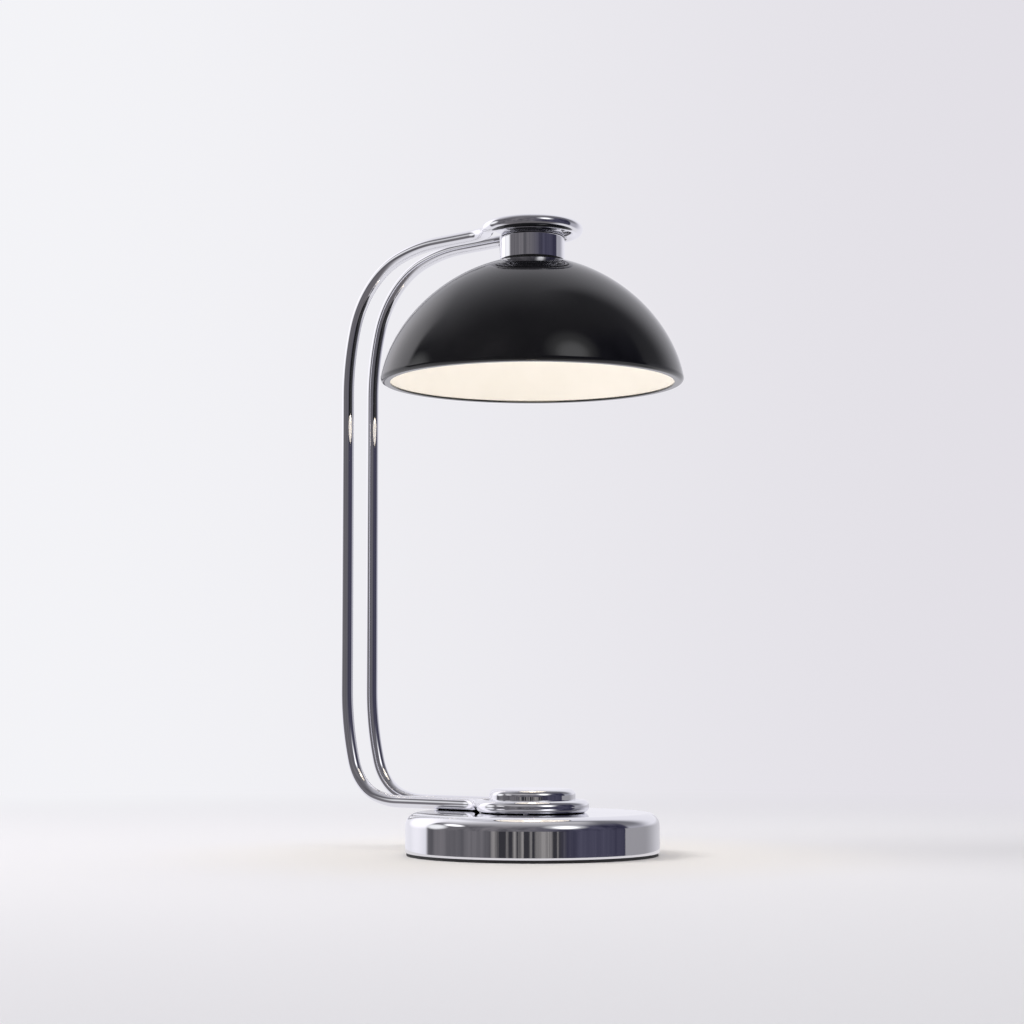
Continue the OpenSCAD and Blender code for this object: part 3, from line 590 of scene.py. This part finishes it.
def lit_opal():
    """Opal plastic with the lamp's warm light in it."""
    made = Finish("lit_opal").set(Emission_Color=(1.0, 0.86, 0.66, 1), Emission_Strength=0.6)
    made.colour(made.noise(40.0, 2.0), (0.93, 0.91, 0.86), (0.97, 0.95, 0.90))
    made.rough(made.noise(200.0, 3.0), 0.4, 0.5)
    return made.bump(made.noise(900.0, 2.0), 0.000005).material


FINISHES = {
    "chrome": mirror_chrome(),
    "black_gloss": gloss_black_paint(),
    "white_paint": white_enamel(),
    "opal": lit_opal(),
    "steel": plain("bright_steel", (0.48, 0.48, 0.5), (0.6, 0.6, 0.62), (0.22, 0.34), 500.0, 0.00001,
                   metallic=1.0, stretch=(1, 1, 0.2)),
    "black_steel": plain("black_painted_steel", (0.035, 0.035, 0.038), (0.06, 0.06, 0.064), (0.42, 0.55),
                         700.0, 0.00002),
    "rubber": plain("black_rubber", (0.018, 0.018, 0.019), (0.034, 0.034, 0.036), (0.72, 0.86),
                    900.0, 0.00003),
    "iron": plain("raw_cast_iron", (0.1, 0.1, 0.105), (0.2, 0.2, 0.21), (0.5, 0.75), 420.0, 0.00012,
                  metallic=0.8),
    "dark_plastic": plain("dark_moulded_plastic", (0.05, 0.05, 0.054), (0.08, 0.08, 0.085), (0.45, 0.6),
                          1100.0, 0.00002),
    "white_plastic": plain("white_moulded_plastic", (0.78, 0.78, 0.76), (0.86, 0.86, 0.84), (0.4, 0.52),
                           1100.0, 0.00001),
    "cell_wrap": plain("green_cell_wrap", (0.07, 0.34, 0.24), (0.11, 0.45, 0.32), (0.25, 0.36),
                       300.0, 0.00002),
    "circuit_board": plain("green_circuit_board", (0.02, 0.17, 0.07), (0.05, 0.28, 0.13), (0.32, 0.46),
                           650.0, 0.00002),
    "white_board": plain("white_light_board", (0.84, 0.84, 0.83), (0.92, 0.92, 0.91), (0.35, 0.48),
                         650.0, 0.00001),
    "wire": plain("pale_wire_cover", (0.72, 0.72, 0.7), (0.82, 0.82, 0.8), (0.45, 0.58), 900.0, 0.00001),
    "brass": plain("turned_brass", (0.6, 0.44, 0.17), (0.74, 0.57, 0.26), (0.22, 0.34), 500.0, 0.00001,
                   metallic=1.0, stretch=(1, 1, 6)),
    "aluminium": plain("machined_aluminium", (0.62, 0.63, 0.64), (0.74, 0.75, 0.76), (0.28, 0.42),
                       600.0, 0.00001, metallic=1.0, stretch=(1, 1, 5)),
    "led": plain("light_chip_phosphor", (0.9, 0.76, 0.36), (0.98, 0.86, 0.5), (0.3, 0.42), 900.0, 0.00001,
                 Emission_Color=(1.0, 0.82, 0.55, 1), Emission_Strength=3.0),
}
slot_of = {row["node"]: row["material_slot"] for row in frame["record"]["subparts"]}
for made in list(bpy.context.scene.objects):
    if made.type == "MESH":
        slot = made["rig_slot"] if "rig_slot" in made else slot_of[made.name]
        made.data.materials.clear()
        made.data.materials.append(FINISHES[slot])


# Studio: pale floor and backdrop, soft light, and for what the chrome shows a room that is dark on the
# camera's side

AZIMUTH = math.radians(42)
TOWARDS_CAMERA = np.array([math.sin(AZIMUTH), -math.cos(AZIMUTH), 0.0])
RIGHT = np.array([math.cos(AZIMUTH), math.sin(AZIMUTH), 0.0])
UP = np.array([0.0, 0.0, 1.0])
EYE = 1.4071 * TOWARDS_CAMERA + 0.00068 * RIGHT + 0.09149 * UP


def heading(turn, rise):
    """Unit direction, turned to the right from the way towards the camera and raised, in degrees."""
    t, e = math.radians(turn), math.radians(rise)
    return math.cos(e) * (math.cos(t) * TOWARDS_CAMERA + math.sin(t) * RIGHT) + math.sin(e) * UP


# Tones of the backdrop and of the room that the chrome shows
BACKDROP_LEFT, BACKDROP_RIGHT = (0.90, 0.90, 0.93), (0.76, 0.74, 0.79)
DARK_LEFT, DARK_RIGHT = (0.085, 0.083, 0.095), (0.030, 0.029, 0.055)
LIT_LEFT, LIT_RIGHT = (0.20, 0.19, 0.205), (0.085, 0.082, 0.125)
CEILING = (0.17, 0.165, 0.18)
PALE, PALEST = (0.88, 0.87, 0.93), (1.25, 1.22, 1.28)
GREY_LOW, GREY_HIGH = (0.46, 0.455, 0.51), (0.20, 0.198, 0.22)
TABLE_NEAR, TABLE_FAR = (0.16, 0.15, 0.16), (0.84, 0.83, 0.87)
# Level direction to the middle of the room's pale side, and the direction of its brightest patch
BEHIND, PATCH = -heading(-7, 0), heading(-128, 22)
# Radius and lower edge of the upright screens, in metres
SCREEN_R, SCREEN_LOW = 0.35, -0.025
# Round lights: turn and rise, outer and inner radius, all in degrees, and tone
ROUND_LIGHTS = ((-99, 14, 17.0, 4.0, 1.05), (33, 34, 22.0, 8.0, 0.6), (33, 32, 14.0, 2.0, 1.6))


# Nodes

def node(tree, kind, links=(), **values):
    """A node with its values set and its inputs linked."""
    made = tree.nodes.new(kind)
    for key, value in values.items():
        setattr(made, key, value)
    for key, value in links:
        if isinstance(value, bpy.types.NodeSocket):
            tree.links.new(value, made.inputs[key])
        else:
            made.inputs[key].default_value = value
    return made


def vectors(tree, operation, *inputs):
    """An operation on one or two vectors: its outputs are a new vector and a number such as a length."""
    links = [(k, v if isinstance(v, bpy.types.NodeSocket) else tuple(v)) for k, v in enumerate(inputs)]
    return node(tree, "ShaderNodeVectorMath", links, operation=operation).outputs


def number(tree, operation, a, b):
    """An operation on two numbers."""
    return node(tree, "ShaderNodeMath", [(0, a), (1, b)], operation=operation).outputs[0]


def ramp(tree, value, low, high, to_low=0.0, to_high=1.0, shape="SMOOTHSTEP"):
    """A number carried over from the range low to high to the range to_low to to_high, and held at its
    ends."""
    links = [("Value", value), ("From Min", low), ("From Max", high), ("To Min", to_low), ("To Max", to_high)]
    return node(tree, "ShaderNodeMapRange", links, interpolation_type=shape).outputs["Result"]


def along(tree, direction, way, low, high):
    """How far a vector points along a direction, stretched smoothly from low and high to 0 and 1."""
    return ramp(tree, vectors(tree, "DOT_PRODUCT", way, direction)["Value"], low, high)


def noise(tree, where, scale, detail, roughness=0.5):
    """A noise value."""
    links = [("Vector", where), ("Scale", scale), ("Detail", detail), ("Roughness", roughness)]
    return node(tree, "ShaderNodeTexNoise", links).outputs["Fac"]


def blend(tree, factor, a, b):
    """A colour between a and b."""
    made = node(tree, "ShaderNodeMix", data_type="RGBA")
    for key, value in (("Factor", factor), ("A", a), ("B", b)):
        if isinstance(value, bpy.types.NodeSocket):
            tree.links.new(value, made.inputs[key])
        else:
            made.inputs[key].default_value = (*value, 1)
    return made.outputs["Result"]


def mixed(tree, factor, first, second):
    """A shader between two others."""
    return node(tree, "ShaderNodeMixShader", [(0, factor), (1, first.outputs[0]), (2, second.outputs[0])])


def flattened(tree, way):
    """A vector without its height, and the level direction that it has."""
    flat = vectors(tree, "MULTIPLY", way, (1.0, 1.0, 0.0))["Vector"]
    return flat, vectors(tree, "NORMALIZE", flat)["Vector"]


# World

def backdrop_tone(tree, sight):
    """The backdrop along a line of sight: paler on the left."""
    return blend(tree, along(tree, RIGHT, sight, -0.24, 0.24), BACKDROP_LEFT, BACKDROP_RIGHT)


def dark_side(tree, way):
    """The room on the camera's side: upright panels of two tones, darker to the right, and the ceiling."""
    upright = node(tree, "ShaderNodeMapping", [("Vector", way), ("Scale", (1.0, 1.0, 0.3))])
    panels = ramp(tree, noise(tree, upright.outputs["Vector"], 3.6, 5.0, 0.62), 0.35, 0.65, shape="LINEAR")
    rightwards = along(tree, RIGHT, way, -0.35, 0.75)
    dark = blend(tree, rightwards, DARK_LEFT, DARK_RIGHT)
    lit = blend(tree, rightwards, LIT_LEFT, LIT_RIGHT)
    return blend(tree, along(tree, UP, way, 0.60, 0.90), blend(tree, panels, dark, lit), CEILING)


def pale_side(tree, way):
    """The room behind the lamp: pale, grey to the right, and brightest in a patch at the back left."""
    _, level = flattened(tree, way)
    grey = blend(tree, along(tree, UP, way, 0.05, 0.50), GREY_LOW, GREY_HIGH)
    grey = blend(tree, along(tree, -TOWARDS_CAMERA, level, 0.40, 0.85), grey, PALE)
    pale = blend(tree, along(tree, RIGHT, way, -0.05, 0.40), PALE, grey)
    return blend(tree, along(tree, PATCH, way, 0.86, 0.97), pale, PALEST)


def room_in_the_chrome(tree, way):
    """Dark side and pale side, which meet in a sharp upright edge that softens overhead, the table below
    and the round lights."""
    edge = along(tree, BEHIND, way, 0.17, 0.27)
    overhead = along(tree, BEHIND, way, -0.45, 0.70)
    share = blend(tree, along(tree, UP, way, 0.45, 0.80), edge, overhead)
    room = blend(tree, share, dark_side(tree, way), pale_side(tree, way))
    table = blend(tree, along(tree, BEHIND, way, -0.50, -0.02), TABLE_NEAR, TABLE_FAR)
    room = blend(tree, along(tree, -UP, way, 0.28, 0.48), room, table)
    for turn, rise, outer, inner, tone in ROUND_LIGHTS:
        outer_cos, inner_cos = math.cos(math.radians(outer)), math.cos(math.radians(inner))
        spot = along(tree, heading(turn, rise), way, outer_cos, inner_cos)
        room = blend(tree, spot, room, (tone, tone, 1.02 * tone))
    return room


def studio_world():
    """An even pale light for matt pieces, the room for polished ones, and the backdrop for the camera."""
    world = bpy.data.worlds.new("studio")
    bpy.context.scene.world = world
    world.use_nodes = True
    tree = world.node_tree
    tree.nodes.clear()
    way = tree.nodes.new("ShaderNodeTexCoord").outputs["Generated"]
    ray = tree.nodes.new("ShaderNodeLightPath").outputs
    even = node(tree, "ShaderNodeBackground", [("Color", (0.93, 0.93, 0.96, 1)), ("Strength", 0.58)])
    room = node(tree, "ShaderNodeBackground", [("Color", room_in_the_chrome(tree, way)), ("Strength", 1.0)])
    backdrop = node(tree, "ShaderNodeBackground", [("Color", backdrop_tone(tree, way)), ("Strength", 1.0)])
    lit = mixed(tree, ray["Is Glossy Ray"], even, room)
    seen = mixed(tree, ray["Is Camera Ray"], lit, backdrop)
    node(tree, "ShaderNodeOutputWorld", [(0, seen.outputs[0])])


# Sheets of the studio

def stage_sheet(name, points, faces):
    """A sheet of the studio, which is no part of the lamp."""
    mesh = bpy.data.meshes.new(name)
    mesh.from_pydata(points.tolist(), [], faces)
    made = bpy.data.objects.new(name, mesh)
    bpy.context.scene.collection.objects.link(made)
    return made


def disc(name, radius, z):
    """A flat round sheet about Z: rings whose radii grow as squares, cut by spokes."""
    rings, spokes, innermost = 24, 96, 0.02
    r = np.linspace(innermost, 1, rings)[:, None] ** 2 * radius
    t = np.linspace(0, 2 * np.pi, spokes, endpoint=False)
    points = np.stack([r * np.cos(t), r * np.sin(t), np.full((rings, spokes), z)], -1).reshape(-1, 3)
    faces = quads(rings, spokes, False, True).reshape(-1, 4).tolist()
    return stage_sheet(name, points, faces + [list(range(spokes))])


def screen(name, radius, low, high, start, end):
    """Part of an upright cylinder about Z: radius times the level direction from start to end in
    degrees, from low to high."""
    columns = 56
    turn = np.radians(np.linspace(start, end, columns))[:, None]
    ring = radius * (np.cos(turn) * TOWARDS_CAMERA + np.sin(turn) * RIGHT)
    points = np.vstack([ring + low * UP, ring + high * UP])
    return stage_sheet(name, points, quads(2, columns, False, False).reshape(-1, 4).tolist())


def sheet_material(name):
    """An empty node material, its tree, and the sheet's own coordinates."""
    made = bpy.data.materials.new(name)
    made.use_nodes = True
    tree = made.node_tree
    tree.nodes.clear()
    return made, tree, tree.nodes.new("ShaderNodeTexCoord").outputs["Object"]


def floor_finish():
    """Pale paper: a painted warm pool of the lamp's light round the lamp, real light and shadow near it, and
    turning into the backdrop's own tone further out."""
    made, tree, where = sheet_material("pale_floor")
    ray = tree.nodes.new("ShaderNodeLightPath").outputs
    grain = noise(tree, where, 900.0, 3.0)
    tone = blend(tree, grain, (0.825, 0.815, 0.835), (0.855, 0.845, 0.865))
    # Painted light: the paper is tinted warm near the lamp, in place of the shade's warm light falling on it
    painted_lamp_glow = ramp(tree, vectors(tree, "LENGTH", where)["Value"], 0.10, 0.27, 1.0, 0.0)
    paper = node(tree, "ShaderNodeBsdfDiffuse", [("Color", blend(tree, painted_lamp_glow, tone, (0.86, 0.835, 0.815)))])
    sight = vectors(tree, "SUBTRACT", where, EYE)["Vector"]
    side = backdrop_tone(tree, vectors(tree, "NORMALIZE", sight)["Vector"])
    backdrop = node(tree, "ShaderNodeEmission", [("Color", side), ("Strength", 1.0)])
    distance = vectors(tree, "DISTANCE", where, 0.35 * TOWARDS_CAMERA)["Value"]
    far = number(tree, "MULTIPLY", ramp(tree, distance, 0.6, 1.45), ray["Is Camera Ray"])
    node(tree, "ShaderNodeOutputMaterial", [(0, mixed(tree, far, paper, backdrop).outputs[0])])
    return made


def table_finish():
    """The table's even tone."""
    made, tree, _ = sheet_material("table_in_the_chrome_glow")
    shine = node(tree, "ShaderNodeEmission", [("Color", (0.80, 0.78, 0.80, 1)), ("Strength", 1.0)])
    node(tree, "ShaderNodeOutputMaterial", [(0, shine.outputs[0])])
    return made


def shelf_finish():
    """Upright grey bars that follow the direction from the lamp's axis, and fade out to both sides."""
    made, tree, where = sheet_material("grey_shelves")
    _, side = flattened(tree, where)
    bars = ramp(tree, noise(tree, side, 13.0, 3.0), 0.45, 0.575, shape="LINEAR")
    tone = blend(tree, bars, (0.040, 0.039, 0.046), (0.31, 0.295, 0.29))
    shine = node(tree, "ShaderNodeEmission", [("Color", tone)])
    clear = node(tree, "ShaderNodeBsdfTransparent")
    both = mixed(tree, along(tree, heading(-5, 0), side, 0.84, 0.92), clear, shine)
    node(tree, "ShaderNodeOutputMaterial", [(0, both.outputs[0])])
    return made


def wall_finish():
    """Grey that turns paler towards the back and fades out upwards."""
    made, tree, where = sheet_material("grey_wall")
    _, side = flattened(tree, where)
    backwards = along(tree, heading(170, 0), side, 0.47, 0.95)
    tone = blend(tree, backwards, (0.35, 0.343, 0.365), (0.64, 0.63, 0.67))
    shine = node(tree, "ShaderNodeEmission", [("Color", tone)])
    clear = node(tree, "ShaderNodeBsdfTransparent")
    both = mixed(tree, along(tree, UP, where, 0.03, 0.085), shine, clear)
    node(tree, "ShaderNodeOutputMaterial", [(0, both.outputs[0])])
    return made


def canopy_finish():
    """Light that only mirrors below a level sheet show: it adds to what is behind the sheet, fades with
    the distance from the lamp's axis and to both sides of the camera's side, and has a bright round spot."""
    made, tree, where = sheet_material("light_over_the_base")
    flat, side = flattened(tree, where)
    reach = vectors(tree, "LENGTH", flat)["Value"]
    near = number(tree, "POWER", ramp(tree, reach, 0.058, 0.23, 0.68, 0.0), 2.0)
    near = number(tree, "MULTIPLY", near, ramp(tree, reach, 0.075, 0.092))
    near = number(tree, "MULTIPLY", near, along(tree, heading(-15, 0), side, 0.30, 0.65))
    spot = 0.075 * heading(-40, 0) + 0.117 * heading(-80, 0)
    bright = ramp(tree, vectors(tree, "DISTANCE", flat, spot)["Value"], 0.021, 0.041, 1.3, 0.0)
    tone = number(tree, "ADD", near, bright)
    shine = node(tree, "ShaderNodeEmission", [("Color", (1.0, 0.99, 1.0, 1)), ("Strength", tone)])
    clear = node(tree, "ShaderNodeBsdfTransparent")
    added = node(tree, "ShaderNodeAddShader", [(0, clear.outputs[0]), (1, shine.outputs[0])])
    above = tree.nodes.new("ShaderNodeNewGeometry").outputs["Backfacing"]
    node(tree, "ShaderNodeOutputMaterial", [(0, mixed(tree, above, added, clear).outputs[0])])
    return made


def only_in_mirrors(sheet, material):
    """A sheet that polished pieces show, and that lights nothing, shades nothing and does not meet the
    camera."""
    sheet.data.materials.append(material)
    sheet.visible_camera = sheet.visible_diffuse = sheet.visible_shadow = sheet.visible_transmission = False


studio_world()
floor = disc("floor", 9.0, 0.0)
floor.data.materials.append(floor_finish())
floor.visible_glossy = False
only_in_mirrors(disc("table_in_the_chrome", 0.112, 0.0002), table_finish())
only_in_mirrors(disc("light_over_the_base", 0.25, 0.09), canopy_finish())
only_in_mirrors(screen("shelves_in_the_chrome", SCREEN_R, SCREEN_LOW, 0.026, -60, 50), shelf_finish())
only_in_mirrors(screen("wall_in_the_chrome", SCREEN_R, SCREEN_LOW, 0.09, 82, 160), wall_finish())


# Lights and camera

# A light whose direction rises by more than this share is turned by Y, not by Z
NEARLY_UPRIGHT = 0.9


def placed(made, side, up, back, place):
    """Links an object to the scene, turned to three unit vectors and moved to a place."""
    bpy.context.scene.collection.objects.link(made)
    pose = np.eye(4)
    pose[:3] = np.c_[side, up, back, place]
    made.matrix_world = Matrix(pose.tolist())


def lamp(name, kind, place, aim, energy, colour, **values):
    """A light at a place, turned towards an aim point."""
    data = bpy.data.lights.new(name, kind)
    data.energy, data.color = energy, colour
    for key, value in values.items():
        setattr(data, key, value)
    made = bpy.data.objects.new(name, data)
    back = np.array(place) - np.array(aim)
    back = back / np.linalg.norm(back)
    side = np.cross([0.0, 1.0, 0.0] if abs(back[2]) > NEARLY_UPRIGHT else UP, back)
    side = side / np.linalg.norm(side)
    placed(made, side, np.cross(back, side), back, place)
    return made


centre = 0.2 * UP
softboxes = [
    lamp("left_softbox", "AREA", centre + 1.7 * heading(-83, 42), centre,
         energy=13, colour=(1.0, 0.99, 0.98), size=0.9),
    lamp("overhead_softbox", "AREA", centre + 1.6 * heading(150, 75), centre,
         energy=8, colour=(1.0, 0.99, 1.0), size=1.2)]
for made in softboxes:
    made.visible_glossy = False
    made.visible_camera = False
lamp("inside_the_shade", "POINT", 0.322 * UP, 0 * UP, energy=0.081, colour=(1.0, 0.865, 0.64),
     shadow_soft_size=0.02)

# The camera stands level with the lamp's lower stem, a little tilted up, at the photograph's turn
yaw, tilt = math.radians(-0.545), math.radians(2.887)
facing = -TOWARDS_CAMERA * math.cos(yaw) + RIGHT * math.sin(yaw)
across = RIGHT * math.cos(yaw) + TOWARDS_CAMERA * math.sin(yaw)
ahead = facing * math.cos(tilt) + UP * math.sin(tilt)
camera = bpy.data.objects.new("camera", bpy.data.cameras.new("camera"))
placed(camera, across, np.cross(across, ahead), -ahead, EYE)
camera.data.sensor_width = 36.0
camera.data.lens = 79.25
camera.data.shift_y = 0.08
camera.data.clip_end = 50.0
bpy.context.scene.camera = camera
bpy.context.scene.view_settings.view_transform = "Standard"
